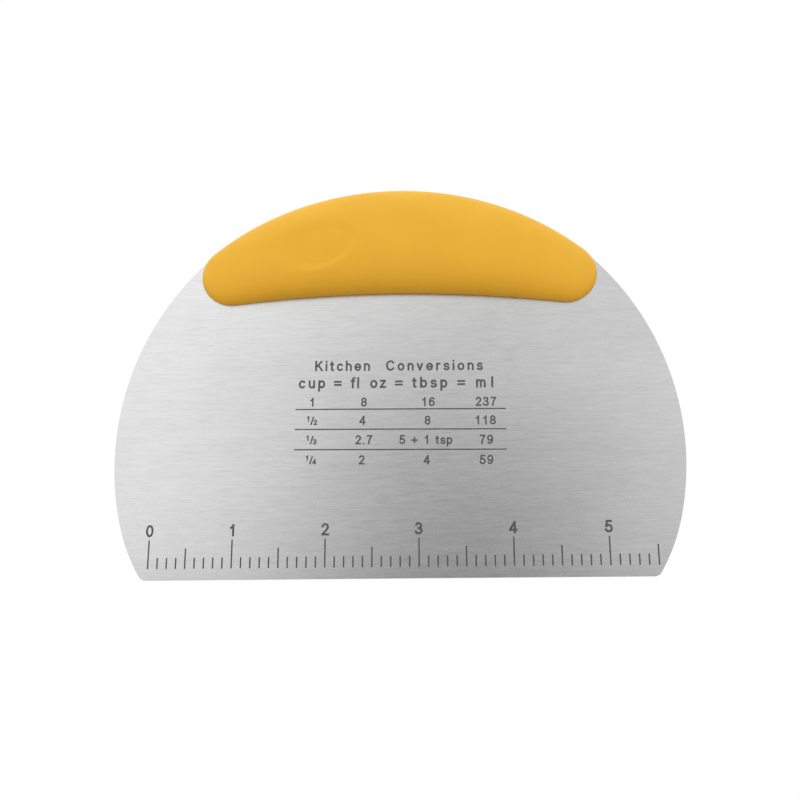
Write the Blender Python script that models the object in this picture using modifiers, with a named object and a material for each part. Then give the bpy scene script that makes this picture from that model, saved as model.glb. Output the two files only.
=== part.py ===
"""Bench scraper: a round-backed steel blade held in a soft-skinned handle.

Metres, +Z up.  The blade stands on its working edge in the XZ plane, its
printed side towards -Y.  The origin is the middle of the working edge.

The handle is a stiff core in two equal halves, clamped through the blade's
tang by three rivets, with one soft skin moulded over it.

The handle and the tang are just under one degree off the working edge.  They are
made upright and turned together about the centre of the blade's disc.
"""

import math

import bmesh
import bpy
from mathutils import Matrix, Vector

MM = 0.001
CLEARANCE = 0.3 * MM             # left between pieces that touch on the real tool

# Blade: a steel plate, part of a disc, with a straight working edge at z = 0.
BLADE_THICKNESS = 1.0 * MM
DISC_RADIUS = 78.85 * MM
DISC_CENTRE_Z = 35.56 * MM
LOWER_SIDE_RADIUS = 53.0 * MM    # the sides curve in faster near the working edge
LOWER_SIDE_TOP_Z = 16.0 * MM     # where that faster curve leaves the disc
EDGE_CORNER_RADIUS = 2.0 * MM
SHOULDER_Z = 92.5 * MM           # where the disc turns in to the tang, inside the handle
SHOULDER_CORNER_RADIUS = 2.0 * MM
TANG_DEPTH = 8.0 * MM            # from the handle's back down to the tang's top
HANDLE_TURN = math.radians(0.7)  # clockwise as seen from the front
ABOUT_DISC = Matrix.Translation((0.0, 0.0, DISC_CENTRE_Z))
HANDLE_PLACE = ABOUT_DISC @ Matrix.Rotation(HANDLE_TURN, 4, "Y") @ ABOUT_DISC.inverted()

# Handle outline in the blade's plane: back arc, hollow belly arc and two round ends.
BACK_RADIUS = 86.0 * MM
BACK_TOP_Z = 112.3 * MM
BELLY_RADIUS = 370.0 * MM
BELLY_TOP_Z = 80.8 * MM
END_RADIUS = 8.8 * MM
BACK_CENTRE_Z = BACK_TOP_Z - BACK_RADIUS
BELLY_CENTRE_Z = BELLY_TOP_Z - BELLY_RADIUS

# Handle thickness: half of it at the middle, and the fullness of its rounding.
HALF_THICKNESS = 8.75 * MM
SECTION_FULLNESS = 2.5           # superellipse power of a cross-section
PLAN_FULLNESS = 2.4              # superellipse power of the view from above

# Layers of the handle, as depths below its surface.
SKIN_DEPTH = 2.7 * MM
CORE_DEPTH = SKIN_DEPTH + CLEARANCE
CORE_WALL = 2.2 * MM
POCKET_DEPTH = CORE_DEPTH + CORE_WALL

# Ribs, rivets and pegs stand on one shallow arc along the handle.
FIXING_ARC_RADIUS = 142.0 * MM
FIXING_TOP_Z = 94.6 * MM
FIXING_CENTRE_Z = FIXING_TOP_Z - FIXING_ARC_RADIUS
RIVET_X = {"rivet_left": -26.0 * MM, "rivet_centre": 0.0, "rivet_right": 26.0 * MM}
PEG_X = 13.0 * MM
RIB_X = [side * x * MM for side in (-1, 1) for x in (6.5, 19.5, 33.5, 42.0)]
RIB_THICKNESS = 1.4 * MM

SHANK_RADIUS = 2.0 * MM
HEAD_RADIUS = 3.5 * MM
HEAD_SEAT_Y = 3.7 * MM           # depth of the counterbore's floor from the mid-plane
HEAD_THICKNESS = 1.2 * MM
RIVET_BOSS_RADIUS = 4.6 * MM
PEG_RADIUS = 1.5 * MM
PEG_LENGTH = 2.4 * MM            # how far a peg reaches past the mid-plane
PEG_BOSS_RADIUS = 3.2 * MM

# Thumb rest: a shallow oval dish, one on each side of the handle.
DISH_CENTRE = Vector((-23.7 * MM, 0.0, 93.3 * MM))
DISH_HALF_LENGTH = 12.0 * MM
DISH_HALF_HEIGHT = 7.2 * MM
DISH_DEPTH = 1.2 * MM
DISH_ROUNDNESS = 6.0 * MM        # semi-axis of the cutting ellipsoid across the handle
DISH_TILT = math.radians(15.0)

ARC_STEP = math.radians(2.5)
SECTION_POINTS = 24
STATIONS = 36
ROUND_POINTS = 24

ROUND_EDGE_ANGLE = math.radians(35.0)


# ---------------------------------------------------------------- scene and materials

def clear_scene():
    for item in list(bpy.data.objects):
        bpy.data.objects.remove(item, do_unlink=True)


def new_collection(name):
    collection = bpy.data.collections.new(name)
    bpy.context.scene.collection.children.link(collection)
    return collection


def make_material(name, colour, roughness, metallic):
    material = bpy.data.materials.new(name)
    material.use_nodes = True
    shader = material.node_tree.nodes["Principled BSDF"]
    shader.inputs["Base Color"].default_value = (*colour, 1.0)
    shader.inputs["Roughness"].default_value = roughness
    shader.inputs["Metallic"].default_value = metallic
    return material


# ---------------------------------------------------------------- objects and booleans

def add_object(name, mesh, collection):
    item = bpy.data.objects.new(name, mesh)
    collection.objects.link(item)
    return item


def add_cutter(name, mesh):
    cutter = add_object(name, mesh, CUTTERS)
    cutter.hide_render = True
    cutter.display_type = "WIRE"
    return cutter


def add_part(name, mesh, material, parent):
    part = add_object(name, mesh, PARTS)
    part.parent = parent
    mesh.materials.clear()
    mesh.materials.append(material)
    mesh.shade_smooth()
    mesh.set_sharp_from_angle(angle=ROUND_EDGE_ANGLE)
    return part


def boolean(target, operation, *tools):
    for tool in tools:
        modifier = target.modifiers.new(tool.name, "BOOLEAN")
        modifier.operation = operation
        modifier.solver = "MANIFOLD"
        modifier.object = tool


def evaluated_mesh(item):
    """The object's mesh with its modifiers, in world space."""
    bpy.context.view_layer.update()
    depsgraph = bpy.context.evaluated_depsgraph_get()
    mesh = bpy.data.meshes.new_from_object(item.evaluated_get(depsgraph))
    mesh.transform(item.matrix_world)
    return mesh


# ---------------------------------------------------------------- outlines, as (x, z)

def arc(centre, radius, start, end):
    """Points along an arc from the start angle to the end angle."""
    steps = max(4, math.ceil(abs(end - start) / ARC_STEP))
    angles = (start + (end - start) * i / steps for i in range(steps + 1))
    return [(centre[0] + radius * math.cos(a), centre[1] + radius * math.sin(a)) for a in angles]


def mirrored(points):
    return [(-x, z) for x, z in reversed(points)]


def turned(points, turn):
    """Points turned clockwise about the disc's centre."""
    cosine, sine = math.cos(turn), math.sin(turn)
    result = []
    for x, z in points:
        height = z - DISC_CENTRE_Z
        result.append((x * cosine + height * sine, DISC_CENTRE_Z + height * cosine - x * sine))
    return result


def blade_outline(turn, gap=0.0):
    """The blade's outline with its tang turned, grown by a gap when it is a slot."""
    disc = (0.0, DISC_CENTRE_Z)
    radius = DISC_RADIUS + gap

    lower_angle = math.asin((LOWER_SIDE_TOP_Z - DISC_CENTRE_Z) / DISC_RADIUS)
    inset = DISC_RADIUS - LOWER_SIDE_RADIUS
    lower_x = inset * math.cos(lower_angle)
    lower_z = DISC_CENTRE_Z + inset * math.sin(lower_angle)

    foot_radius = EDGE_CORNER_RADIUS + gap
    foot_z = EDGE_CORNER_RADIUS
    reach = math.sqrt((LOWER_SIDE_RADIUS - EDGE_CORNER_RADIUS)**2 - (foot_z - lower_z)**2)
    foot_angle = math.atan2(foot_z - lower_z, reach)
    foot = arc((lower_x + reach, foot_z), foot_radius, -math.pi / 2, foot_angle)
    foot += arc((lower_x, lower_z), LOWER_SIDE_RADIUS + gap, foot_angle, lower_angle)[1:]

    shoulder_radius = SHOULDER_CORNER_RADIUS + gap
    shoulder_z = SHOULDER_Z - SHOULDER_CORNER_RADIUS
    shoulder_x = math.sqrt((radius - shoulder_radius)**2 - (shoulder_z - DISC_CENTRE_Z)**2)
    shoulder_angle = math.atan2(shoulder_z - DISC_CENTRE_Z, shoulder_x)
    shoulder = arc((shoulder_x, shoulder_z), shoulder_radius, shoulder_angle, math.pi / 2)

    tang_radius = BACK_RADIUS - TANG_DEPTH + gap
    tang_angle = math.asin((SHOULDER_Z + gap - BACK_CENTRE_Z) / tang_radius)
    tang = arc((0.0, BACK_CENTRE_Z), tang_radius, tang_angle, math.pi - tang_angle)

    right_side = arc(disc, radius, lower_angle, shoulder_angle - turn)[1:-1]
    left_side = arc(disc, radius, math.pi - shoulder_angle - turn, math.pi - lower_angle)[1:-1]
    crown = turned(shoulder + tang + mirrored(shoulder), turn)
    return foot + right_side + crown + left_side + mirrored(foot)


def end_centre():
    """Centre of a round end, which touches both the back and the belly arc."""
    to_back = BACK_RADIUS - END_RADIUS
    to_belly = BELLY_RADIUS + END_RADIUS
    apart = BACK_CENTRE_Z - BELLY_CENTRE_Z
    above_belly = (apart**2 + to_belly**2 - to_back**2) / (2 * apart)
    return math.sqrt(to_belly**2 - above_belly**2), BELLY_CENTRE_Z + above_belly


def handle_half_length(depth):
    return end_centre()[0] + END_RADIUS - depth


def handle_heights(x, depth):
    """Lowest and highest z of the handle at x, for a surface at this depth."""
    end_x, end_z = end_centre()
    end_radius = END_RADIUS - depth
    belly_tangent_x = end_x * (BELLY_RADIUS + depth) / (BELLY_RADIUS + END_RADIUS)
    back_tangent_x = end_x * (BACK_RADIUS - depth) / (BACK_RADIUS - END_RADIUS)
    half_height = math.sqrt(max(0.0, end_radius**2 - (abs(x) - end_x)**2))
    low = end_z - half_height
    high = end_z + half_height
    if abs(x) < belly_tangent_x:
        low = BELLY_CENTRE_Z + math.sqrt((BELLY_RADIUS + depth)**2 - x**2)
    if abs(x) < back_tangent_x:
        high = BACK_CENTRE_Z + math.sqrt((BACK_RADIUS - depth)**2 - x**2)
    return low, high


def fixing_height(x):
    return FIXING_CENTRE_Z + math.sqrt(FIXING_ARC_RADIUS**2 - x**2)


# ---------------------------------------------------------------- basic solids

def plate_mesh(name, outline, thickness):
    """A flat plate in the XZ plane, centred on y = 0."""
    curve = bpy.data.curves.new(name, "CURVE")
    curve.dimensions = "2D"
    curve.fill_mode = "BOTH"
    curve.extrude = thickness / 2
    spline = curve.splines.new("POLY")
    spline.points.add(len(outline) - 1)
    for point, (x, z) in zip(spline.points, outline):
        point.co = (x, z, 0.0, 1.0)
    spline.use_cyclic_u = True
    item = add_object(name, curve, CUTTERS)
    item.rotation_euler.x = math.pi / 2
    mesh = evaluated_mesh(item)
    bpy.data.objects.remove(item, do_unlink=True)
    weld(mesh)
    return mesh


def weld(mesh):
    shape = bmesh.new()
    shape.from_mesh(mesh)
    bmesh.ops.remove_doubles(shape, verts=shape.verts, dist=0.001 * MM)
    bmesh.ops.dissolve_limit(shape, angle_limit=math.radians(0.5), verts=shape.verts, edges=shape.edges)
    bmesh.ops.recalc_face_normals(shape, faces=shape.faces)
    shape.to_mesh(mesh)
    shape.free()


def across_blade(x, y_from, y_to, z):
    """Placement of a unit-length cylinder that runs across the blade."""
    turn = Matrix.Rotation(math.pi / 2, 4, "X")
    return Matrix.Translation((x, (y_from + y_to) / 2, z)) @ turn


def cylinder_mesh(name, radius, x, y_from, y_to):
    """A round bar across the blade, on the line of the fixings."""
    shape = bmesh.new()
    bmesh.ops.create_cone(shape, cap_ends=True, segments=ROUND_POINTS, radius1=radius, radius2=radius,
                          depth=abs(y_to - y_from), matrix=across_blade(x, y_from, y_to, fixing_height(x)))
    mesh = bpy.data.meshes.new(name)
    shape.to_mesh(mesh)
    shape.free()
    return mesh


def box_mesh(name, low, high):
    shape = bmesh.new()
    bmesh.ops.create_cube(shape, size=1.0)
    size = Vector(high) - Vector(low)
    middle = (Vector(high) + Vector(low)) / 2
    bmesh.ops.transform(shape, matrix=Matrix.Translation(middle) @ Matrix.Diagonal((*size, 1.0)),
                        verts=shape.verts)
    mesh = bpy.data.meshes.new(name)
    shape.to_mesh(mesh)
    shape.free()
    return mesh


def superellipse(share, power):
    """Height of a unit superellipse at a share of its half-width."""
    return max(0.0, 1.0 - abs(share)**power)**(1.0 / power)


def on_handle(direction, depth):
    """The point of the handle's surface that a direction on the unit sphere maps to.

    The sphere's poles (z) become the handle's ends.  Around them, each ring
    becomes a superellipse that fills the handle's height and thickness.
    """
    half_length = handle_half_length(depth)
    x = half_length * direction.z
    low, high = handle_heights(x, depth)
    half_thickness = (HALF_THICKNESS - depth) * superellipse(direction.z, PLAN_FULLNESS)
    angle = math.atan2(direction.y, -direction.x)
    across = math.copysign(abs(math.sin(angle))**(2 / SECTION_FULLNESS), math.sin(angle))
    upward = math.copysign(abs(math.cos(angle))**(2 / SECTION_FULLNESS), math.cos(angle))
    return Vector((x, half_thickness * across, (low + high) / 2 + (high - low) / 2 * upward))


def handle_mesh(name, depth):
    """The handle's shape, or the shape that lies at a depth below its surface."""
    shape = bmesh.new()
    bmesh.ops.create_uvsphere(shape, u_segments=SECTION_POINTS, v_segments=STATIONS, radius=1.0)
    for vertex in shape.verts:
        vertex.co = on_handle(vertex.co.normalized(), depth)
    mesh = bpy.data.meshes.new(name)
    shape.to_mesh(mesh)
    shape.free()
    return mesh


# ---------------------------------------------------------------- blade

def blade_slot():
    """The blade's space in the handle, before the handle is turned."""
    mesh = plate_mesh("blade_slot", blade_outline(0.0, CLEARANCE), BLADE_THICKNESS + 2 * CLEARANCE)
    return add_cutter("blade_slot", mesh)


def fixing_holes():
    """Clearance holes in the tang, for the rivets and the locating pegs."""
    reach = 2 * BLADE_THICKNESS
    sizes = [(x, SHANK_RADIUS) for x in RIVET_X.values()]
    sizes += [(side * PEG_X, PEG_RADIUS) for side in (-1, 1)]
    holes = []
    for number, (x, radius) in enumerate(sizes):
        mesh = cylinder_mesh(f"tang_hole_{number}", radius + CLEARANCE, x, -reach, reach)
        hole = add_cutter(mesh.name, mesh)
        hole.matrix_basis = HANDLE_PLACE
        holes.append(hole)
    return holes


def make_blade(parent):
    mesh = plate_mesh("blade", blade_outline(HANDLE_TURN), BLADE_THICKNESS)
    blade = add_part("blade", mesh, STEEL, parent)
    boolean(blade, "DIFFERENCE", *fixing_holes())
    return blade


# ---------------------------------------------------------------- core

def spine_outline():
    """A rib that follows the line of the fixings from end to end."""
    reach = handle_half_length(CORE_DEPTH)
    lean = math.asin(reach / FIXING_ARC_RADIUS)
    centre = (0.0, FIXING_CENTRE_Z)
    start, end = math.pi / 2 - lean, math.pi / 2 + lean
    outer = arc(centre, FIXING_ARC_RADIUS + RIB_THICKNESS / 2, start, end)
    inner = arc(centre, FIXING_ARC_RADIUS - RIB_THICKNESS / 2, end, start)
    return outer + inner


def core_pockets():
    """What is hollowed out of the core: all but its wall, ribs and bosses."""
    pockets = add_cutter("core_pockets", handle_mesh("core_pockets", POCKET_DEPTH))
    spine = add_cutter("spine", plate_mesh("spine", spine_outline(), 3 * HALF_THICKNESS))
    kept = [spine]
    for number, x in enumerate(RIB_X):
        low = (x - RIB_THICKNESS / 2, -HALF_THICKNESS, BELLY_TOP_Z - 10 * MM)
        high = (x + RIB_THICKNESS / 2, HALF_THICKNESS, BACK_TOP_Z)
        kept.append(add_cutter(f"rib_{number}", box_mesh(f"rib_{number}", low, high)))
    bosses = [(x, RIVET_BOSS_RADIUS) for x in RIVET_X.values()]
    bosses += [(side * PEG_X, PEG_BOSS_RADIUS) for side in (-1, 1)]
    for number, (x, radius) in enumerate(bosses):
        mesh = cylinder_mesh(f"boss_{number}", radius, x, -HALF_THICKNESS, HALF_THICKNESS)
        kept.append(add_cutter(mesh.name, mesh))
    boolean(pockets, "DIFFERENCE", *kept)
    return pockets


def rivet_seats():
    """Bores and counterbores for the rivets, in the front half."""
    seats = []
    for name, x in RIVET_X.items():
        bore = cylinder_mesh(f"{name}_bore", SHANK_RADIUS + CLEARANCE, x, -HALF_THICKNESS, HALF_THICKNESS)
        seat = cylinder_mesh(f"{name}_seat", HEAD_RADIUS + CLEARANCE, x, -HALF_THICKNESS, -HEAD_SEAT_Y)
        seats += [add_cutter(bore.name, bore), add_cutter(seat.name, seat)]
    return seats


def core_half_mesh(slot):
    """The front half.  A half turn about Z makes it the back half."""
    half = add_cutter("core_half", handle_mesh("core_half", CORE_DEPTH))
    low = (-HALF_THICKNESS * 10, -CLEARANCE / 2, 0.0)
    high = (HALF_THICKNESS * 10, HALF_THICKNESS * 2, BACK_TOP_Z * 2)
    back_side = add_cutter("back_side", box_mesh("back_side", low, high))
    socket_floor = -PEG_LENGTH - CLEARANCE
    socket = cylinder_mesh("peg_socket", PEG_RADIUS + CLEARANCE, PEG_X, socket_floor, HALF_THICKNESS)
    boolean(half, "DIFFERENCE", back_side, slot, core_pockets(), *rivet_seats(),
            add_cutter("peg_socket", socket))
    peg = cylinder_mesh("peg", PEG_RADIUS, -PEG_X, -HEAD_SEAT_Y, PEG_LENGTH)
    boolean(half, "UNION", add_cutter("peg", peg))
    mesh = evaluated_mesh(half)
    bpy.data.objects.remove(half, do_unlink=True)
    return mesh


def make_core(slot, parent):
    mesh = core_half_mesh(slot)
    front = add_part("core_front", mesh, CORE_PLASTIC, parent)
    front.matrix_basis = HANDLE_PLACE
    back = add_part("core_back", mesh, CORE_PLASTIC, parent)
    back.matrix_basis = HANDLE_PLACE @ Matrix.Rotation(math.pi, 4, "Z")


# ---------------------------------------------------------------- rivets

def rivet_mesh():
    """A closed rivet along Y: a domed head at each end of a plain shank."""
    seat = HEAD_SEAT_Y + CLEARANCE
    top = seat + HEAD_THICKNESS
    edge = seat + HEAD_THICKNESS / 2
    half = [(0.0, top), (HEAD_RADIUS * 0.6, top), (HEAD_RADIUS, edge)]
    half += [(HEAD_RADIUS, seat), (SHANK_RADIUS, seat)]
    profile = half + [(radius, -height) for radius, height in reversed(half)]
    mesh = bpy.data.meshes.new("rivet_profile")
    points = [(radius, 0.0, height) for radius, height in profile]
    mesh.from_pydata(points, [(i, i + 1) for i in range(len(points) - 1)], [])
    item = add_object("rivet_profile", mesh, CUTTERS)
    screw = item.modifiers.new("Turn", "SCREW")
    screw.axis = "Z"
    screw.steps = ROUND_POINTS
    screw.render_steps = ROUND_POINTS
    screw.use_merge_vertices = True
    screw.merge_threshold = 0.01 * MM
    item.rotation_euler.x = math.pi / 2
    turned = evaluated_mesh(item)
    bpy.data.objects.remove(item, do_unlink=True)
    return turned


def make_rivets(parent):
    mesh = rivet_mesh()
    for name, x in RIVET_X.items():
        rivet = add_part(name, mesh, RIVET_METAL, parent)
        rivet.matrix_basis = HANDLE_PLACE @ Matrix.Translation((x, 0.0, fixing_height(x)))


# ---------------------------------------------------------------- skin

def thumb_dish(name, side):
    """An oval cutter.  The front dish is side -1, and a half turn gives the back one."""
    share_cut = math.sqrt(1 - (1 - DISH_DEPTH / DISH_ROUNDNESS)**2)
    size = (DISH_HALF_LENGTH / share_cut, DISH_ROUNDNESS, DISH_HALF_HEIGHT / share_cut)
    surface_y = HALF_THICKNESS * superellipse(DISH_CENTRE.x / handle_half_length(0.0), PLAN_FULLNESS)
    outward = surface_y + DISH_ROUNDNESS - DISH_DEPTH
    shape = bmesh.new()
    bmesh.ops.create_uvsphere(shape, u_segments=32, v_segments=24, radius=1.0)
    place = Matrix.Translation(DISH_CENTRE - Vector((0.0, outward, 0.0)))
    place = place @ Matrix.Rotation(-DISH_TILT, 4, "Y") @ Matrix.Diagonal((*size, 1.0))
    if side > 0:
        place = Matrix.Rotation(math.pi, 4, "Z") @ place
    bmesh.ops.transform(shape, matrix=place, verts=shape.verts)
    mesh = bpy.data.meshes.new(name)
    shape.to_mesh(mesh)
    shape.free()
    return add_cutter(name, mesh)


def make_skin(slot, parent):
    solid = add_cutter("skin_solid", handle_mesh("skin_solid", 0.0))
    cavity = add_cutter("skin_cavity", handle_mesh("skin_cavity", SKIN_DEPTH))
    boolean(solid, "DIFFERENCE", cavity, slot, thumb_dish("dish_front", -1), thumb_dish("dish_back", 1))
    skin = add_part("grip_skin", evaluated_mesh(solid), SOFT_SKIN, parent)
    skin.matrix_basis = HANDLE_PLACE
    bpy.data.objects.remove(solid, do_unlink=True)
    return skin


# ---------------------------------------------------------------- assembly

clear_scene()
PARTS = new_collection("bench_scraper")
CUTTERS = new_collection("cutters")

STEEL = make_material("brushed_steel", (0.60, 0.60, 0.59), 0.36, 1.0)
RIVET_METAL = make_material("rivet_aluminium", (0.75, 0.75, 0.76), 0.40, 1.0)
CORE_PLASTIC = make_material("core_plastic", (0.70, 0.62, 0.46), 0.50, 0.0)
SOFT_SKIN = make_material("soft_skin", (0.807, 0.451, 0.055), 0.75, 0.0)

ROOT = add_object("scraper_frame", None, PARTS)
SLOT = blade_slot()
make_blade(ROOT)
make_core(SLOT, ROOT)
make_rivets(ROOT)
make_skin(SLOT, ROOT)
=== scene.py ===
"""Bench scraper: a brushed steel blade with an etched ruler and measure table, in a soft yellow grip.

Metres, +Z up.  The blade stands on its working edge in the XZ plane with its marks
towards -Y.  The origin is the middle of the working edge.

The grip, the tang and the table sit square to each other, just under one degree off the
working edge.  They are made upright and turned about the disc's centre.
"""

import math

import bmesh
import bpy
from mathutils import Matrix, Vector
from mathutils.geometry import delaunay_2d_cdt


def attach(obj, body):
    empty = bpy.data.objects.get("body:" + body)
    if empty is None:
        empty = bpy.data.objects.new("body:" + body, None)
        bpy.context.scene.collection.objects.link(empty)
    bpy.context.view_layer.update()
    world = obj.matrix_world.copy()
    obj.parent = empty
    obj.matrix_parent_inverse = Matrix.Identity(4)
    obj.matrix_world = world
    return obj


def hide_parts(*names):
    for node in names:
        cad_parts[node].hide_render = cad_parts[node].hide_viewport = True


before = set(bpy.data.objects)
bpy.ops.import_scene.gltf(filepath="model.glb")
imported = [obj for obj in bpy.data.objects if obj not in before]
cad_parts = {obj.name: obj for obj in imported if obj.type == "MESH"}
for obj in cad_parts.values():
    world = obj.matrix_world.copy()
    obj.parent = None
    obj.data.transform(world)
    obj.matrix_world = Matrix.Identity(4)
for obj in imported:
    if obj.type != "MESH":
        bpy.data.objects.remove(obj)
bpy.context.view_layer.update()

MM = 0.001

# Blade: part of a disc with a straight working edge, and the tang inside the grip.
BLADE_THICKNESS = 1.0 * MM
DISC_RADIUS = 78.85 * MM
DISC_CENTRE_Z = 35.56 * MM
LOWER_SIDE_RADIUS = 53.0 * MM    # the sides curve in faster near the working edge
LOWER_SIDE_TOP_Z = 16.0 * MM     # where that faster curve leaves the disc
EDGE_CORNER_RADIUS = 2.0 * MM
SHOULDER_Z = 92.5 * MM
SHOULDER_CORNER_RADIUS = 2.0 * MM
TANG_DEPTH = 8.0 * MM
EDGE_ROUNDING = 0.12 * MM
WELD_DISTANCE = 0.001 * MM

GRIP_TURN = math.radians(0.7)    # clockwise as seen from the front
ABOUT_DISC = Matrix.Translation((0.0, 0.0, DISC_CENTRE_Z))
GRIP_PLACE = ABOUT_DISC @ Matrix.Rotation(GRIP_TURN, 4, "Y") @ ABOUT_DISC.inverted()

# Fixing holes in the tang: rivets and pegs on one shallow arc, as x and radius.
FIXING_ARC_RADIUS = 142.0 * MM
FIXING_CENTRE_Z = 94.6 * MM - FIXING_ARC_RADIUS
RIVET_HOLE_RADIUS = 2.3 * MM
PEG_HOLE_RADIUS = 1.8 * MM
FIXING_HOLES = {
    -26.0 * MM: RIVET_HOLE_RADIUS,
    0.0: RIVET_HOLE_RADIUS,
    26.0 * MM: RIVET_HOLE_RADIUS,
    -13.0 * MM: PEG_HOLE_RADIUS,
    13.0 * MM: PEG_HOLE_RADIUS,
}

# Grip: back arc, hollow belly arc and two round ends, swelling to its middle.
BACK_RADIUS = 86.0 * MM
BACK_CENTRE_Z = 112.3 * MM - BACK_RADIUS
BELLY_RADIUS = 370.0 * MM
BELLY_CENTRE_Z = 80.8 * MM - BELLY_RADIUS
END_RADIUS = 8.8 * MM
HALF_THICKNESS = 8.75 * MM
SECTION_FULLNESS = 2.5
PLAN_FULLNESS = 2.4
SKIN_DEPTH = 2.7 * MM
SKIN_STATIONS = 280
SKIN_RING_POINTS = 200
CAVITY_STATIONS = 60
CAVITY_RING_POINTS = 48

# The skin closes on the blade.  A mould parting line runs round its mid-plane.
SLOT_GAP = 0.06 * MM
PARTING_DEPTH = 0.05 * MM
PARTING_HALF_WIDTH = 0.22 * MM
PARTING_STEPS = (0.0008, 0.0022, 0.006, 0.013)    # ring angles beside the mid-plane

# Thumb dish on the front, and by a half turn on the back.
DISH_CENTRE = Vector((-23.7 * MM, 93.3 * MM))
DISH_HALF_LENGTH = 13.0 * MM
DISH_HALF_HEIGHT = 8.0 * MM
DISH_DEPTH = 0.52 * MM
DISH_TILT = math.radians(15.0)
DISH_SOFT_SIDE = Vector((-0.75, 0.66))    # where its wall is widest, along and up
DISH_WALL = 0.46                          # mean width of the wall, as a share of the reach
DISH_WALL_CHANGE = 0.29

# Etched marks, a thin dark film on the front face.
MARK_FILM = 0.012 * MM
MARK_LINE = 0.40 * MM

# Ruler: tenths of an inch from the left, with a first inch of only nine steps.
RULER_START_X = -67.62 * MM
RULER_STEP = 2.54 * MM
RULER_STEPS = 54
RULER_BOTTOM_Z = 3.0 * MM
RULER_TOPS = {"long": 10.75 * MM, "middle": 8.45 * MM, "short": 5.97 * MM}
NUMERAL_BASE_Z = 11.6 * MM
NUMERAL_HEIGHT = 3.35 * MM

# Measure table.
TABLE_LEFT = -28.4 * MM
TABLE_RIGHT = 30.4 * MM
TABLE_RULES_Z = (46.56 * MM, 40.81 * MM, 35.05 * MM)
TABLE_RULE_WIDTH = 0.36 * MM
TITLE_HEIGHT = 3.1 * MM
TITLE_BASE_Z = 57.67 * MM
HEADER_HEIGHT = 3.25 * MM
HEADER_BASE_Z = 52.64 * MM
ROW_HEIGHT = 2.62 * MM
FRACTION_X = -23.6 * MM
ROW_BASE_Z = (47.31 * MM, 42.03 * MM, 36.52 * MM, 30.86 * MM)

ARC_STEP = math.radians(1.0)


# ---------------------------------------------------------------- outlines, as (x, z)

def arc(centre, radius, start, end):
    """Points along an arc from the start angle to the end angle."""
    steps = max(8, math.ceil(abs(end - start) / ARC_STEP))
    angles = (start + (end - start) * i / steps for i in range(steps + 1))
    return [(centre[0] + radius * math.cos(a), centre[1] + radius * math.sin(a)) for a in angles]


def mirrored(points):
    return [(-x, z) for x, z in reversed(points)]


def turned(points, turn):
    """Points turned clockwise about the disc's centre."""
    cosine, sine = math.cos(turn), math.sin(turn)
    result = []
    for x, z in points:
        height = z - DISC_CENTRE_Z
        result.append((x * cosine + height * sine, DISC_CENTRE_Z + height * cosine - x * sine))
    return result


def blade_outline(turn, gap=0.0):
    """The blade's outline with its tang turned, grown by a gap when it is a slot."""
    disc = (0.0, DISC_CENTRE_Z)
    radius = DISC_RADIUS + gap

    lower_angle = math.asin((LOWER_SIDE_TOP_Z - DISC_CENTRE_Z) / DISC_RADIUS)
    inset = DISC_RADIUS - LOWER_SIDE_RADIUS
    lower_x = inset * math.cos(lower_angle)
    lower_z = DISC_CENTRE_Z + inset * math.sin(lower_angle)

    foot_radius = EDGE_CORNER_RADIUS + gap
    foot_z = EDGE_CORNER_RADIUS
    reach = math.sqrt((LOWER_SIDE_RADIUS - EDGE_CORNER_RADIUS)**2 - (foot_z - lower_z)**2)
    foot_angle = math.atan2(foot_z - lower_z, reach)
    foot = arc((lower_x + reach, foot_z), foot_radius, -math.pi / 2, foot_angle)
    foot += arc((lower_x, lower_z), LOWER_SIDE_RADIUS + gap, foot_angle, lower_angle)[1:]

    shoulder_radius = SHOULDER_CORNER_RADIUS + gap
    shoulder_z = SHOULDER_Z - SHOULDER_CORNER_RADIUS
    shoulder_x = math.sqrt((radius - shoulder_radius)**2 - (shoulder_z - DISC_CENTRE_Z)**2)
    shoulder_angle = math.atan2(shoulder_z - DISC_CENTRE_Z, shoulder_x)
    shoulder = arc((shoulder_x, shoulder_z), shoulder_radius, shoulder_angle, math.pi / 2)

    tang_radius = BACK_RADIUS - TANG_DEPTH + gap
    tang_angle = math.asin((SHOULDER_Z + gap - BACK_CENTRE_Z) / tang_radius)
    tang = arc((0.0, BACK_CENTRE_Z), tang_radius, tang_angle, math.pi - tang_angle)

    right_side = arc(disc, radius, lower_angle, shoulder_angle - turn)[1:-1]
    left_side = arc(disc, radius, math.pi - shoulder_angle - turn, math.pi - lower_angle)[1:-1]
    crown = turned(shoulder + tang + mirrored(shoulder), turn)
    return foot + right_side + crown + left_side + mirrored(foot)


def fixing_holes():
    """Holes in the tang for the rivets and the locating pegs."""
    holes = []
    for x, radius in FIXING_HOLES.items():
        height = FIXING_CENTRE_Z + math.sqrt(FIXING_ARC_RADIUS**2 - x**2)
        holes.append(turned(arc((x, height), radius, 2 * math.pi, 0.0)[::8][:-1], GRIP_TURN))
    return holes


def end_centre():
    """Centre of a round end, which touches both the back and the belly arc."""
    to_back = BACK_RADIUS - END_RADIUS
    to_belly = BELLY_RADIUS + END_RADIUS
    apart = BACK_CENTRE_Z - BELLY_CENTRE_Z
    above_belly = (apart**2 + to_belly**2 - to_back**2) / (2 * apart)
    return math.sqrt(to_belly**2 - above_belly**2), BELLY_CENTRE_Z + above_belly


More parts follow.
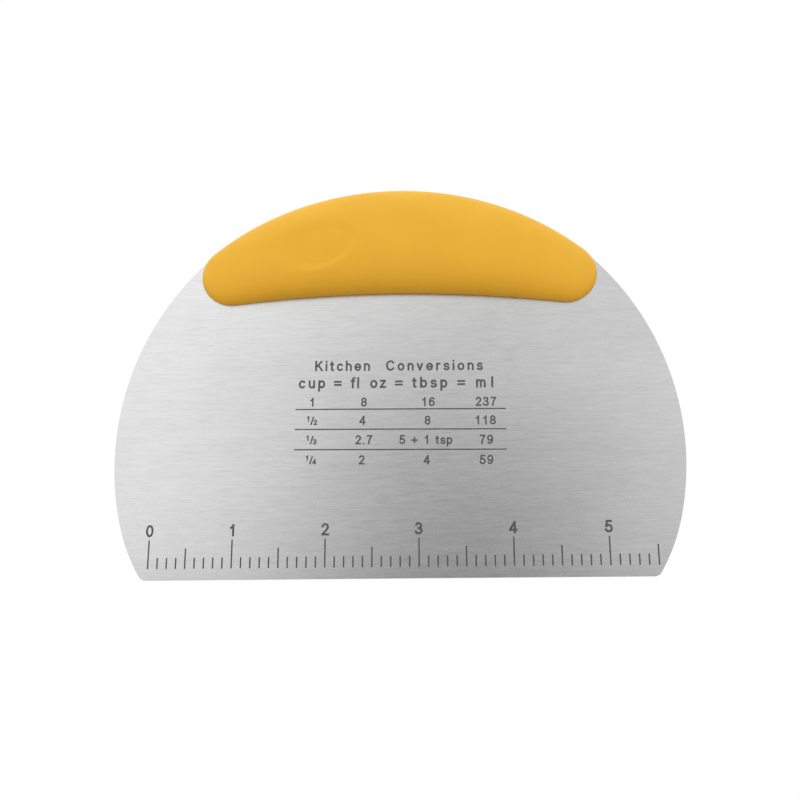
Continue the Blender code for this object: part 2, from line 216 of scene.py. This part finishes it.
def grip_heights(x, depth):
    """Lowest and highest z of the grip at x, for a surface at this depth."""
    end_x, end_z = end_centre()
    end_radius = END_RADIUS - depth
    belly_tangent_x = end_x * (BELLY_RADIUS + depth) / (BELLY_RADIUS + END_RADIUS)
    back_tangent_x = end_x * (BACK_RADIUS - depth) / (BACK_RADIUS - END_RADIUS)
    half_height = math.sqrt(max(0.0, end_radius**2 - (abs(x) - end_x)**2))
    low = end_z - half_height
    high = end_z + half_height
    if abs(x) < belly_tangent_x:
        low = BELLY_CENTRE_Z + math.sqrt((BELLY_RADIUS + depth)**2 - x**2)
    if abs(x) < back_tangent_x:
        high = BACK_CENTRE_Z + math.sqrt((BACK_RADIUS - depth)**2 - x**2)
    return low, high


# ---------------------------------------------------------------- objects

def add_object(name, data):
    item = bpy.data.objects.new(name, data)
    bpy.context.scene.collection.objects.link(item)
    return item


def applied(item):
    """The object with its modifiers applied, or turned from a curve to a mesh."""
    bpy.context.view_layer.update()
    depsgraph = bpy.context.evaluated_depsgraph_get()
    mesh = bpy.data.meshes.new_from_object(item.evaluated_get(depsgraph))
    mesh.transform(item.matrix_world)
    name = item.name
    bpy.data.objects.remove(item, do_unlink=True)
    mesh.name = name
    return add_object(name, mesh)


def finish_piece(piece, material, slot, *stands_for):
    piece.data.materials.clear()
    piece.data.materials.append(material)
    if stands_for:
        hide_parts(*stands_for)
    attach(piece, "root")


def plate(name, outlines, thickness):
    """A flat plate in the XZ plane, centred on y = 0.  Outlines after the first are holes."""
    curve = bpy.data.curves.new(name, "CURVE")
    curve.dimensions = "2D"
    curve.fill_mode = "BOTH"
    curve.extrude = thickness / 2
    for outline in outlines:
        spline = curve.splines.new("POLY")
        spline.points.add(len(outline) - 1)
        for point, (x, z) in zip(spline.points, outline):
            point.co = (x, z, 0.0, 1.0)
        spline.use_cyclic_u = True
    item = add_object(name, curve)
    item.rotation_euler.x = math.pi / 2
    item = applied(item)
    shape = bmesh.new()
    shape.from_mesh(item.data)
    bmesh.ops.remove_doubles(shape, verts=shape.verts, dist=WELD_DISTANCE)
    bmesh.ops.recalc_face_normals(shape, faces=shape.faces)
    shape.to_mesh(item.data)
    shape.free()
    return item


# ---------------------------------------------------------------- blade

def make_blade(material):
    """The plate with its edges slightly rounded by blanking and tumbling."""
    item = plate("blade_plate", [blade_outline(GRIP_TURN), *fixing_holes()], BLADE_THICKNESS)
    rounding = item.modifiers.new("Edges", "BEVEL")
    rounding.width = EDGE_ROUNDING
    rounding.segments = 3
    rounding.limit_method = "ANGLE"
    rounding.angle_limit = math.radians(60.0)
    item = applied(item)
    item.data.shade_smooth()
    item.data.set_sharp_from_angle(angle=math.radians(31.0))
    weighted = item.modifiers.new("Flat faces", "WEIGHTED_NORMAL")
    weighted.keep_sharp = True
    weighted.weight = 100
    item = applied(item)
    finish_piece(item, material, "blade_steel", "blade")
    return item


# ---------------------------------------------------------------- grip skin

def superellipse(share, power):
    """Height of a unit superellipse at a share of its half-width."""
    return max(0.0, 1.0 - abs(share)**power)**(1.0 / power)


def signed_power(value, power):
    return math.copysign(abs(value)**power, value)


def grip_point(station_angle, ring_angle, depth):
    """A point of the grip's surface: the station runs end to end, the ring round the section."""
    share = -math.cos(station_angle)
    x = (end_centre()[0] + END_RADIUS - depth) * share
    low, high = grip_heights(x, depth)
    half_thickness = (HALF_THICKNESS - depth) * superellipse(share, PLAN_FULLNESS)
    across = signed_power(math.sin(ring_angle), 2 / SECTION_FULLNESS)
    upward = signed_power(math.cos(ring_angle), 2 / SECTION_FULLNESS)
    return Vector((x, half_thickness * across, (low + high) / 2 + (high - low) / 2 * upward))


def dish_depth(x, z):
    """How deep the front dish is.  Its rim is crisp below and to the right, and fades out elsewhere."""
    offset = Vector((x, z)) - DISH_CENTRE
    along = offset.x * math.cos(DISH_TILT) + offset.y * math.sin(DISH_TILT)
    up = offset.y * math.cos(DISH_TILT) - offset.x * math.sin(DISH_TILT)
    reach = Vector((along / DISH_HALF_LENGTH, up / DISH_HALF_HEIGHT))
    if reach.length >= 1.0:
        return 0.0
    towards_soft_side = 0.0
    if reach.length > 0.0:
        towards_soft_side = reach.dot(DISH_SOFT_SIDE) / reach.length
    wall = DISH_WALL + DISH_WALL_CHANGE * towards_soft_side
    inside = min(1.0, (1.0 - reach.length) / wall)
    return DISH_DEPTH * inside**2 * (3.0 - 2.0 * inside)


def shaped(point):
    """The outer skin's own detail: the two dishes and the parting line."""
    side = math.copysign(1.0, point.y)
    inward = dish_depth(-side * point.x, point.z)
    moved = Vector((point.x, point.y - side * min(inward, abs(point.y)), point.z))
    near = 1.0 - abs(point.y) / PARTING_HALF_WIDTH
    if near > 0.0:
        low, high = grip_heights(point.x, 0.0)
        towards_middle = math.copysign(1.0, (low + high) / 2 - point.z)
        moved.z += towards_middle * PARTING_DEPTH * near
    return moved


def ring_angles(count):
    """Even steps round the section, with a few close ones at the mid-plane for the parting line."""
    even = [2 * math.pi * i / count for i in range(count)]
    close = []
    for middle in (0.0, math.pi):
        close += [middle + side * step for side in (-1, 1) for step in PARTING_STEPS]
    return sorted({round(angle % (2 * math.pi), 7) for angle in even + close})


def grip_surface(name, depth, stations, ring_points, detail):
    """A closed surface in rings from the left end to the right end."""
    angles = ring_angles(ring_points)
    place = shaped if detail else Vector
    shape = bmesh.new()
    rings = []
    for i in range(1, stations):
        station = math.pi * i / stations
        rings.append([shape.verts.new(place(grip_point(station, angle, depth))) for angle in angles])
    for ring, following in zip(rings, rings[1:]):
        for j in range(len(angles)):
            shape.faces.new((ring[j - 1], ring[j], following[j], following[j - 1]))
    for ring, station in ((rings[0], 0.0), (rings[-1], math.pi)):
        tip = shape.verts.new(grip_point(station, 0.0, depth))
        for j in range(len(angles)):
            shape.faces.new((tip, ring[j - 1], ring[j]))
    bmesh.ops.recalc_face_normals(shape, faces=shape.faces)
    mesh = bpy.data.meshes.new(name)
    shape.to_mesh(mesh)
    shape.free()
    return add_object(name, mesh)


def make_skin(material):
    item = grip_surface("soft_grip", 0.0, SKIN_STATIONS, SKIN_RING_POINTS, True)
    cavity = grip_surface("skin_cavity", SKIN_DEPTH, CAVITY_STATIONS, CAVITY_RING_POINTS, False)
    slot = plate("blade_slot", [blade_outline(0.0, SLOT_GAP)], BLADE_THICKNESS + 2 * SLOT_GAP)
    for cutter in (cavity, slot):
        cut = item.modifiers.new(cutter.name, "BOOLEAN")
        cut.operation = "DIFFERENCE"
        cut.solver = "MANIFOLD"
        cut.object = cutter
    item = applied(item)
    for cutter in (cavity, slot):
        bpy.data.objects.remove(cutter, do_unlink=True)
    item.data.transform(GRIP_PLACE)
    item.data.shade_smooth()
    item.data.set_sharp_from_angle(angle=math.radians(40.0))
    finish_piece(item, material, "soft_skin", "grip_skin")
    return item


# ---------------------------------------------------------------- lettering
#
# A plain sans-serif stroke alphabet.  A glyph is (width, strokes), and a stroke is the
# centre line of a pen of even width.  Heights run from 0 at the baseline to 1 at the cap line.

LOWER = 0.68                     # height of a small letter
TAIL = -0.34                     # foot of a descender
PEN = 0.170                      # pen width, as a share of the letter's height
SMALL_PEN = 0.220                # the same for the small figures of a fraction
NUMBER_GAP = 0.13                # between a number's figures, as a share of their height
MERGE_SCALE = 1000.0             # marks are merged in mm, where the tolerance suits them
MERGE_TOLERANCE = 1e-5


def curve(centre_x, centre_z, radius_x, radius_z, start, end):
    """Part of an oval, from the start angle to the end angle in degrees."""
    steps = max(6, round(abs(end - start) / 12))
    points = []
    for i in range(steps + 1):
        angle = math.radians(start + (end - start) * i / steps)
        points.append((centre_x + radius_x * math.cos(angle), centre_z + radius_z * math.sin(angle)))
    return points


def oval(centre_x, centre_z, radius_x, radius_z):
    return curve(centre_x, centre_z, radius_x, radius_z, 0, 360)


def stem(x, low, high):
    return [(x, low), (x, high)]


def bar(left, right, z):
    return [(left, z), (right, z)]


def arch(left, right):
    """The shoulder of n, m and h, ending in its right leg."""
    half = (right - left) / 2
    return curve(left + half, LOWER - half, half, half, 170, 0) + [(right, 0.0)]


SIX = [oval(0.30, 0.31, 0.28, 0.31), curve(0.34, 0.50, 0.32, 0.50, 50, 190)]
NINE = [[(0.59 - x, 1.0 - z) for x, z in stroke] for stroke in SIX]
GLYPHS = {
    "0": (0.59, [oval(0.295, 0.5, 0.275, 0.5)]),
    "1": (0.59, [stem(0.36, 0, 1), [(0.13, 0.74), (0.27, 0.83), (0.36, 0.95)]]),
    "2": (0.59, [curve(0.29, 0.72, 0.26, 0.28, 165, -35) + [(0.05, 0.03)], bar(0.03, 0.57, 0)]),
    "3": (0.59, [curve(0.27, 0.76, 0.24, 0.24, 160, -90), curve(0.27, 0.26, 0.29, 0.26, 90, -165)]),
    "4": (0.62, [[(0.44, 0.98), (0.00, 0.29)], bar(0.00, 0.61, 0.25), stem(0.45, 0, 1)]),
    "5": (0.59, [bar(0.13, 0.52, 1), [(0.12, 0.98), (0.06, 0.50)], curve(0.28, 0.31, 0.29, 0.31, 135, -160)]),
    "6": (0.59, SIX),
    "7": (0.59, [bar(0.03, 0.55, 1), [(0.55, 0.97), (0.36, 0.65), (0.25, 0.34), (0.20, 0.0)]]),
    "8": (0.59, [oval(0.295, 0.76, 0.235, 0.24), oval(0.295, 0.26, 0.285, 0.26)]),
    "9": (0.59, NINE),
    "+": (0.60, [bar(0.0, 0.60, 0.42), stem(0.30, 0.12, 0.72)]),
    "=": (0.60, [bar(0.0, 0.60, 0.26), bar(0.0, 0.60, 0.60)]),
    "/": (0.30, [[(0.0, 0.0), (0.30, 1.0)]]),
    ".": (0.12, [bar(0.05, 0.07, 0.0)]),
    "C": (0.74, [curve(0.40, 0.5, 0.39, 0.5, 40, 320)]),
    "K": (0.66, [stem(0, 0, 1), [(0.60, 1.0), (0.0, 0.36)], [(0.24, 0.60), (0.66, 0.0)]]),
    "b": (0.53, [stem(0, 0, 1), oval(0.27, LOWER / 2, 0.26, LOWER / 2)]),
    "c": (0.50, [curve(0.27, LOWER / 2, 0.27, LOWER / 2, 45, 315)]),
    "e": (0.56, [bar(0.0, 0.54, LOWER / 2), curve(0.28, LOWER / 2, 0.28, LOWER / 2, 0, 322)]),
    "f": (0.30, [stem(0.12, 0, 0.8), curve(0.28, 0.84, 0.16, 0.16, 180, 80), bar(0, 0.27, LOWER)]),
    "h": (0.47, [stem(0, 0, 1), arch(0.0, 0.47)]),
    "i": (0.00, [stem(0, 0, LOWER), stem(0, 0.97, 1)]),
    "l": (0.00, [stem(0, 0, 1)]),
    "m": (0.80, [stem(0, 0, LOWER), arch(0.0, 0.40), arch(0.40, 0.80)]),
    "n": (0.47, [stem(0, 0, LOWER), arch(0.0, 0.47)]),
    "o": (0.56, [oval(0.28, LOWER / 2, 0.28, LOWER / 2)]),
    "p": (0.53, [stem(0, TAIL, LOWER), oval(0.27, LOWER / 2, 0.26, LOWER / 2)]),
    "r": (0.26, [stem(0, 0, LOWER), curve(0.22, LOWER - 0.24, 0.22, 0.24, 170, 75)]),
    "s": (0.47, [curve(0.235, 0.51, 0.21, 0.17, 25, 270) + curve(0.235, 0.17, 0.235, 0.17, 80, -155)]),
    "t": (0.28, [stem(0.12, 0.13, 0.9), curve(0.25, 0.13, 0.13, 0.13, 180, 275), bar(0, 0.27, LOWER)]),
    "u": (0.47, [stem(0.47, 0, LOWER), [(0.47 - x, LOWER - z) for x, z in arch(0.0, 0.47)]]),
    "v": (0.50, [[(0.0, LOWER), (0.25, 0.0)], [(0.25, 0.0), (0.50, LOWER)]]),
    "z": (0.46, [bar(0.02, 0.44, LOWER), [(0.42, LOWER - 0.04), (0.03, 0.04)], bar(0.0, 0.46, 0)]),
}


def ribbon(points, width):
    """Quads along a centre line, with mitred bends and square ends that stand half a width out."""
    line = [Vector(point) for point in points]
    closed = (line[0] - line[-1]).length < 1e-4 * width
    if not closed:
        line[0] = line[0] - (line[1] - line[0]).normalized() * width / 2
        line[-1] = line[-1] + (line[-1] - line[-2]).normalized() * width / 2
    sides = []
    last = len(line) - 1
    for i, point in enumerate(line):
        if closed:
            before, after = line[i - 1 if i else last - 1], line[i + 1 if i < last else 1]
        else:
            before, after = line[max(i - 1, 0)], line[min(i + 1, last)]
        to_point = (point - before).normalized() if point != before else (after - point).normalized()
        from_point = (after - point).normalized() if after != point else to_point
        normal = Vector((-(to_point + from_point).y, (to_point + from_point).x)).normalized()
        stretch = 1.0 / max(0.5, normal.dot(Vector((-from_point.y, from_point.x))))
        sides.append((point + normal * stretch * width / 2, point - normal * stretch * width / 2))
    return [(a[1], b[1], b[0], a[0]) for a, b in zip(sides, sides[1:])]


def letter(character, left, base, height, pen=PEN):
    """A glyph's quads.  Its ink starts at left and stands on base."""
    size = height * (1.0 - pen)
    quads = []
    for stroke in GLYPHS[character][1]:
        points = [(left + height * pen / 2 + x * size, base + height * pen / 2 + z * size) for x, z in stroke]
        quads += ribbon(points, height * pen)
    return quads


def ink_width(character, height):
    return height * (GLYPHS[character][0] * (1.0 - PEN) + PEN)


def spaced(text, left, right, base, height):
    """A word's quads, its letters spaced evenly from left to right."""
    free = (right - left) - sum(ink_width(character, height) for character in text)
    gap = free / max(1, len(text) - 1)
    quads = []
    for character in text:
        quads += letter(character, left, base, height)
        left += ink_width(character, height) + gap
    return quads


def number(text, centre, base, height):
    """A number's quads, set close and centred."""
    gap = NUMBER_GAP * height
    width = sum(ink_width(character, height) for character in text) + gap * (len(text) - 1)
    return spaced(text, centre - width / 2, centre + width / 2, base, height)


def rectangle(left, right, low, high):
    return [(Vector((left, low)), Vector((right, low)), Vector((right, high)), Vector((left, high)))]


# ---------------------------------------------------------------- etched marks

def marks_piece(name, quads, material, place=Matrix()):
    """One thin film from many overlapping quads, merged and let half into the blade's front face."""
    points = [corner * MERGE_SCALE for quad in quads for corner in quad]
    faces = [tuple(range(i, i + 4)) for i in range(0, len(points), 4)]
    merged, _, merged_faces, _, _, covered_by = delaunay_2d_cdt(points, [], faces, 1, MERGE_TOLERANCE)
    front = -BLADE_THICKNESS / 2 - MARK_FILM
    shape = bmesh.new()
    verts = [shape.verts.new((point.x / MERGE_SCALE, front, point.y / MERGE_SCALE)) for point in merged]
    for face, covering in zip(merged_faces, covered_by):
        if covering:
            shape.faces.new([verts[i] for i in face])
    loose = [vert for vert in shape.verts if not vert.link_faces]
    bmesh.ops.delete(shape, geom=loose, context="VERTS")
    raised = bmesh.ops.extrude_face_region(shape, geom=list(shape.faces))
    new_verts = [item for item in raised["geom"] if isinstance(item, bmesh.types.BMVert)]
    bmesh.ops.translate(shape, vec=(0.0, 2 * MARK_FILM, 0.0), verts=new_verts)
    bmesh.ops.recalc_face_normals(shape, faces=shape.faces)
    bmesh.ops.transform(shape, matrix=place, verts=shape.verts)
    mesh = bpy.data.meshes.new(name)
    shape.to_mesh(mesh)
    shape.free()
    item = add_object(name, mesh)
    finish_piece(item, material, "blade_steel")
    return item


def tick_kind(step):
    """Long ticks carry the numerals.  The first one is a step early, as on the real tool."""
    place = step + 1 if step > 0 else 0
    if place % 10 == 0:
        return "long"
    return "middle" if place % 5 == 0 else "short"


def make_ruler(material):
    quads = []
    numeral = 0
    for step in range(RULER_STEPS + 1):
        x = RULER_START_X + RULER_STEP * step
        kind = tick_kind(step)
        quads += rectangle(x - MARK_LINE / 2, x + MARK_LINE / 2, RULER_BOTTOM_Z, RULER_TOPS[kind])
        if kind == "long":
            quads += number(str(numeral), x, NUMERAL_BASE_Z, NUMERAL_HEIGHT)
            numeral += 1
    return marks_piece("ruler_marks", quads, material)


def fraction(below, centre, base):
    """One over a number, set small with a raised numerator."""
    height = ROW_HEIGHT * 0.60
    quads = letter("1", centre - 1.60 * MM, base + ROW_HEIGHT * 0.40, height, SMALL_PEN)
    quads += letter("/", centre - 0.45 * MM, base + 0.05 * MM, ROW_HEIGHT * 0.9, PEN)
    quads += letter(below, centre + 0.40 * MM, base, height, SMALL_PEN)
    return quads


# Words with the x of their left and right ends in mm, line by line: the title, the
# header and the sum of two spoons in the third row.
TITLE = (("Kitchen", -23.2, -7.6), ("Conversions", -3.1, 24.2))
HEADER = (
    ("cup", -27.7, -20.2), ("=", -17.7, -15.4), ("fl", -13.0, -10.6), ("oz", -7.5, -3.0),
    ("=", -0.5, 1.8), ("tbsp", 4.3, 14.2), ("=", 17.0, 19.4), ("ml", 22.2, 27.0),
)
SPOONS = (("5", 0.8, 2.7), ("+", 4.2, 6.2), ("1", 7.6, 9.5), ("tsp", 10.8, 15.5))
WORD_LINES = (
    (TITLE_BASE_Z, TITLE_HEIGHT, TITLE),
    (HEADER_BASE_Z, HEADER_HEIGHT, HEADER),
    (ROW_BASE_Z[2], ROW_HEIGHT, SPOONS),
)

# Each row's numbers with the x of their middles in mm.
ROWS = (
    {"1": -23.7, "8": -9.15, "16": 8.8, "237": 24.9},
    {"4": -9.45, "8": 8.65, "118": 24.65},
    {"2.7": -9.0, "79": 24.85},
    {"2": -9.5, "4": 8.45, "59": 24.8},
)


def make_table(material):
    quads = []
    for z in TABLE_RULES_Z:
        quads += rectangle(TABLE_LEFT, TABLE_RIGHT, z - TABLE_RULE_WIDTH / 2, z + TABLE_RULE_WIDTH / 2)
    for base, height, words in WORD_LINES:
        for word, left, right in words:
            quads += spaced(word, left * MM, right * MM, base, height)
    for base, row in zip(ROW_BASE_Z, ROWS):
        for text, centre in row.items():
            quads += number(text, centre * MM, base, ROW_HEIGHT)
    for below, base in zip("234", ROW_BASE_Z[1:]):
        quads += fraction(below, FRACTION_X, base)
    return marks_piece("table_marks", quads, material, GRIP_PLACE)


# ---------------------------------------------------------------- materials

def put(tree, socket, value):
    """Link a socket to another one, or give it a plain value."""
    if isinstance(value, bpy.types.NodeSocket):
        tree.links.new(value, socket)
    else:
        socket.default_value = value


def maths_node(tree, operation, a, b=0.0):
    node = tree.nodes.new("ShaderNodeMath")
    node.operation = operation
    put(tree, node.inputs[0], a)
    put(tree, node.inputs[1], b)
    return node.outputs["Value"]


class Nodes:
    """A material's node tree, with short calls for the nodes used here."""

    def __init__(self, name):
        self.material = bpy.data.materials.new(name)
        self.material.use_nodes = True
        self.tree = self.material.node_tree
        self.shader = self.tree.nodes["Principled BSDF"]
        self.place = self.tree.nodes.new("ShaderNodeTexCoord").outputs["Object"]

    def set(self, **values):
        """Sockets of the shader, with _ for a space in the name."""
        for name, value in values.items():
            put(self.tree, self.shader.inputs[name.replace("_", " ")], value)

    def noise(self, size, detail=2.0, roughness=0.5):
        """Noise of a feature size in metres, one number or one for each axis."""
        sizes = size if isinstance(size, tuple) else (size, size, size)
        mapping = self.tree.nodes.new("ShaderNodeMapping")
        mapping.inputs["Scale"].default_value = [1.0 / axis for axis in sizes]
        self.tree.links.new(self.place, mapping.inputs["Vector"])
        noise = self.tree.nodes.new("ShaderNodeTexNoise")
        noise.inputs["Scale"].default_value = 1.0
        noise.inputs["Detail"].default_value = detail
        noise.inputs["Roughness"].default_value = roughness
        self.tree.links.new(mapping.outputs["Vector"], noise.inputs["Vector"])
        return noise.outputs["Fac"]

    def maths(self, operation, a, b=0.0):
        return maths_node(self.tree, operation, a, b)

    def blend(self, a, b, share):
        """The first value with a share of the second one in its place."""
        kept = self.maths("MULTIPLY", a, 1.0 - share)
        return self.maths("ADD", kept, self.maths("MULTIPLY", b, share))

    def ranged(self, value, low, high, from_low=0.3, from_high=0.7):
        """A value stretched to run from low to high.  Noise fills about 0.3 to 0.7."""
        node = self.tree.nodes.new("ShaderNodeMapRange")
        node.inputs["From Min"].default_value = from_low
        node.inputs["From Max"].default_value = from_high
        node.inputs["To Min"].default_value = low
        node.inputs["To Max"].default_value = high
        self.tree.links.new(value, node.inputs["Value"])
        return node.outputs["Result"]

    def mix(self, share, a, b):
        node = self.tree.nodes.new("ShaderNodeMix")
        node.data_type = "RGBA"
        put(self.tree, node.inputs[0], share)
        put(self.tree, node.inputs[6], (*a, 1.0) if isinstance(a, tuple) else a)
        put(self.tree, node.inputs[7], (*b, 1.0) if isinstance(b, tuple) else b)
        return node.outputs[2]

    def bump(self, height, distance):
        node = self.tree.nodes.new("ShaderNodeBump")
        node.inputs["Strength"].default_value = 1.0
        node.inputs["Distance"].default_value = distance
        self.tree.links.new(height, node.inputs["Height"])
        self.tree.links.new(node.outputs["Normal"], self.shader.inputs["Normal"])


def brushed_steel():
    """Stainless sheet, ground in fine strokes along X."""
    nodes = Nodes("brushed_steel")
    fine = nodes.noise((5.0 * MM, 2.0 * MM, 0.36 * MM), detail=3.0)
    strokes = nodes.noise((26.0 * MM, 4.0 * MM, 0.9 * MM), detail=2.0)
    clouds = nodes.noise((38.0 * MM, 20.0 * MM, 22.0 * MM), detail=2.0)
    streaks = nodes.blend(fine, strokes, 0.25)
    tone = nodes.blend(streaks, clouds, 0.25)
    across_strokes = nodes.tree.nodes.new("ShaderNodeCombineXYZ")
    across_strokes.inputs["Y"].default_value = 0.02
    across_strokes.inputs["Z"].default_value = 1.0
    nodes.set(
        Base_Color=nodes.mix(nodes.ranged(tone, 0.0, 1.0), (0.455, 0.455, 0.455), (0.570, 0.570, 0.570)),
        Metallic=1.0,
        Roughness=nodes.ranged(streaks, 0.26, 0.28),
        Anisotropic=0.5,
        Tangent=across_strokes.outputs["Vector"],
    )
    nodes.bump(fine, 0.002 * MM)
    return nodes.material


def etched_mark():
    """The dark, slightly patchy film that the etching leaves."""
    nodes = Nodes("etched_mark")
    patches = nodes.noise((1.2 * MM, 1.0 * MM, 0.5 * MM), detail=3.0)
    nodes.set(
        Base_Color=nodes.mix(nodes.ranged(patches, 0.0, 1.0), (0.070, 0.070, 0.072), (0.115, 0.115, 0.118)),
        Metallic=0.25,
        Roughness=nodes.ranged(patches, 0.50, 0.62),
    )
    nodes.bump(patches, 0.004 * MM)
    return nodes.material


def soft_skin():
    """Yellow soft-touch elastomer from a spark-eroded mould."""
    nodes = Nodes("soft_skin")
    texture = nodes.noise(0.22 * MM, detail=2.0, roughness=0.6)
    handling = nodes.noise((16.0 * MM, 10.0 * MM, 9.0 * MM), detail=3.0)
    nodes.set(
        Base_Color=nodes.mix(nodes.ranged(handling, 0.0, 1.0), (0.865, 0.472, 0.033), (0.900, 0.499, 0.040)),
        Roughness=nodes.ranged(texture, 0.62, 0.74),
        Sheen_Weight=0.03,
        Sheen_Roughness=0.5,
        Specular_IOR_Level=0.32,
    )
    nodes.bump(texture, 0.012 * MM)
    return nodes.material


def core_plastic():
    """Natural glass-filled plastic, a little mottled."""
    nodes = Nodes("core_plastic")
    mottle = nodes.noise(3.0 * MM, detail=3.0)
    grain = nodes.noise(0.25 * MM, detail=2.0)
    nodes.set(
        Base_Color=nodes.mix(nodes.ranged(mottle, 0.0, 1.0), (0.62, 0.54, 0.38), (0.72, 0.64, 0.48)),
        Roughness=nodes.ranged(grain, 0.42, 0.58),
    )
    nodes.bump(grain, 0.010 * MM)
    return nodes.material


def rivet_aluminium():
    """Headed aluminium with faint die marks."""
    nodes = Nodes("rivet_aluminium")
    marks = nodes.noise((0.5 * MM, 0.2 * MM, 0.5 * MM), detail=3.0)
    nodes.set(
        Base_Color=nodes.mix(nodes.ranged(marks, 0.0, 1.0), (0.70, 0.70, 0.71), (0.80, 0.80, 0.81)),
        Metallic=1.0,
        Roughness=nodes.ranged(marks, 0.34, 0.46),
    )
    nodes.bump(marks, 0.006 * MM)
    return nodes.material


def finish_hidden_parts():
    """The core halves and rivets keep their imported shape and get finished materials."""
    plastic = core_plastic()
    metal = rivet_aluminium()
    looks = {"core_front": plastic, "core_back": plastic,
             "rivet_left": metal, "rivet_centre": metal, "rivet_right": metal}
    for name, material in looks.items():
        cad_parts[name].material_slots[0].material = material


# ---------------------------------------------------------------- studio

CAMERA_PLACE = (14.09 * MM, -259.37 * MM, -18.14 * MM)
CAMERA_AIM = Vector((1.09 * MM, 0.0, 49.26 * MM))
CAMERA_ROLL = math.radians(-0.28)


def make_camera():
    """Just below the working edge's level and a little to its right, looking up at the blade."""
    camera = add_object("camera", bpy.data.cameras.new("camera"))
    camera.data.lens = 43.1
    camera.data.sensor_width = 36.0
    camera.data.clip_start = 0.01
    camera.location = CAMERA_PLACE
    turn = (CAMERA_AIM - camera.location).to_track_quat("-Z", "Y")
    roll = Matrix.Rotation(CAMERA_ROLL, 3, "Z").to_quaternion()
    camera.rotation_euler = (turn @ roll).to_euler()
    bpy.context.scene.camera = camera


# The floor is pale to the eye.  It throws a warmer, dimmer light on matt surfaces, and the
# steel mirrors it grey.
FLOOR_HALF_SIZE = 1.2
FLOOR_FADE = (0.35, 1.1)         # distances from the origin where it starts and ends
FLOOR_SEEN = (0.86, 0.86, 0.86)
FLOOR_BOUNCED = (0.60, 0.51, 0.36)
FLOOR_MIRRORED = (0.60, 0.60, 0.60)


def make_floor():
    """A pale floor seen only from above, which fades into the white studio."""
    mesh = bpy.data.meshes.new("floor")
    half = FLOOR_HALF_SIZE
    corners = [(-half, -half, 0), (half, -half, 0), (half, half, 0), (-half, half, 0)]
    mesh.from_pydata(corners, [], [(0, 1, 2, 3)])
    floor = add_object("floor", mesh)
    nodes = Nodes("floor")
    tree = nodes.tree
    length = tree.nodes.new("ShaderNodeVectorMath")
    length.operation = "LENGTH"
    tree.links.new(nodes.place, length.inputs[0])
    geometry = tree.nodes.new("ShaderNodeNewGeometry")
    fade = nodes.ranged(length.outputs["Value"], 0.0, 1.0, *FLOOR_FADE)
    gone = nodes.maths("MAXIMUM", fade, geometry.outputs["Backfacing"])
    clear = tree.nodes.new("ShaderNodeBsdfTransparent")
    blend = tree.nodes.new("ShaderNodeMixShader")
    tree.links.new(gone, blend.inputs["Fac"])
    tree.links.new(nodes.shader.outputs["BSDF"], blend.inputs[1])
    tree.links.new(clear.outputs["BSDF"], blend.inputs[2])
    tree.links.new(blend.outputs["Shader"], tree.nodes["Material Output"].inputs["Surface"])
    light_path = tree.nodes.new("ShaderNodeLightPath")
    tint = nodes.mix(light_path.outputs["Is Glossy Ray"], FLOOR_BOUNCED, FLOOR_MIRRORED)
    tint = nodes.mix(light_path.outputs["Is Camera Ray"], tint, FLOOR_SEEN)
    nodes.set(Base_Color=tint, Roughness=0.9)
    mesh.materials.append(nodes.material)


# Each glow is a soft patch of the studio: azimuth, elevation and angular width in
# degrees, then strength.  Azimuth 0 is behind the camera, on the -Y side.  The negative
# ones are dark cards, which the middle of the blade mirrors.
STUDIO_BASE = 0.95
STUDIO_GLOWS = (
    (-20.0, 10.0, 7.0, 0.33),
    (-9.0, 8.0, 8.0, -0.49),
    (3.0, 6.0, 8.0, -0.72),
    (15.0, 8.0, 8.0, 1.10),
    (3.0, -2.0, 8.0, -0.72),
    (-14.0, 0.0, 8.0, 1.01),
    (20.0, 0.0, 8.0, -0.72),
    (-22.0, 26.0, 9.0, 0.67),
    (-7.0, 26.0, 9.0, 0.63),
    (8.0, 26.0, 9.0, 0.14),
    (-95.0, 35.0, 22.0, 0.07),
    (180.0, 30.0, 35.0, 0.83),
)


def make_studio():
    """White to the camera.  What lights the object is a base level and soft glows."""
    world = bpy.data.worlds.new("studio")
    world.use_nodes = True
    bpy.context.scene.world = world
    tree = world.node_tree
    direction = tree.nodes.new("ShaderNodeTexCoord").outputs["Generated"]

    def maths(operation, a, b=0.0):
        return maths_node(tree, operation, a, b)

    total = STUDIO_BASE
    for azimuth, elevation, width, strength in STUDIO_GLOWS:
        a, e = math.radians(azimuth), math.radians(elevation)
        towards = tree.nodes.new("ShaderNodeVectorMath")
        towards.operation = "DOT_PRODUCT"
        tree.links.new(direction, towards.inputs[0])
        axis = (math.sin(a) * math.cos(e), -math.cos(a) * math.cos(e), math.sin(e))
        towards.inputs[1].default_value = axis
        sharpness = 1.0 / math.radians(width)**2
        off_axis = maths("SUBTRACT", towards.outputs["Value"], 1.0)
        falloff = maths("EXPONENT", maths("MULTIPLY", off_axis, sharpness))
        total = maths("ADD", maths("MULTIPLY", falloff, strength), total)
    total = maths("MAXIMUM", total, 0.0)

    light_path = tree.nodes.new("ShaderNodeLightPath")
    camera_ray = light_path.outputs["Is Camera Ray"]
    shown = maths("ADD", maths("MULTIPLY", total, maths("SUBTRACT", 1.0, camera_ray)), camera_ray)
    background = tree.nodes["Background"]
    background.inputs["Color"].default_value = (1.0, 1.0, 1.0, 1.0)
    tree.links.new(shown, background.inputs["Strength"])


# ---------------------------------------------------------------- the scene

make_camera()
make_floor()
make_studio()
bpy.context.scene.view_settings.view_transform = "Standard"

make_blade(brushed_steel())
mark_film = etched_mark()
make_ruler(mark_film)
make_table(mark_film)
make_skin(soft_skin())
finish_hidden_parts()
